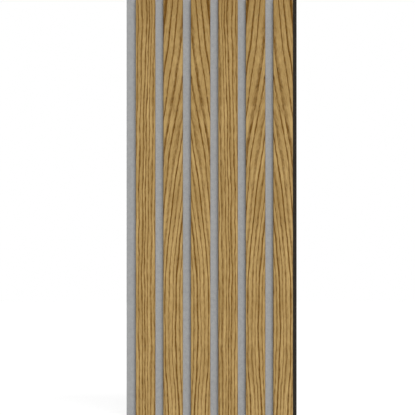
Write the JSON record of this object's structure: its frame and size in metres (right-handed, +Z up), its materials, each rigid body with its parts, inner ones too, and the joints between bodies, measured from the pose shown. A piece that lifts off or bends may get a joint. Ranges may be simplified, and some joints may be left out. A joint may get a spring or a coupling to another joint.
{
  "type": "acoustic slat wall panel",
  "caption": "Wall panel of upright oak-veneered slats spaced on a grey felt mat that dampens sound, with lapped long edges that join the next panel.",
  "frame": {"origin": "middle of the flat back of the panel, on the wall", "axes": "+X to the right as seen from the room, +Y into the wall, +Z up along the slats; the slats face -Y"},
  "size_m": [0.2478, 0.021, 0.61],
  "materials": {
    "oak_veneer": "matt lacquer",
    "fibreboard": "sawn",
    "grey_felt": "needled",
    "black_felt": "needled",
    "staple_steel": "zinc plated"
  },
  "bodies": {
    "root": {"back_felt": "black_felt", "face_felt": "grey_felt", "slat_core_1": "fibreboard", "slat_core_2": "fibreboard", "slat_core_3": "fibreboard", "slat_core_4": "fibreboard", "slat_core_5": "fibreboard", "slat_core_6": "fibreboard", "slat_veneer_1": "oak_veneer", "slat_veneer_2": "oak_veneer", "slat_veneer_3": "oak_veneer", "slat_veneer_4": "oak_veneer", "slat_veneer_5": "oak_veneer", "slat_veneer_6": "oak_veneer", "staples": "staple_steel"}
  },
  "joints": []
}
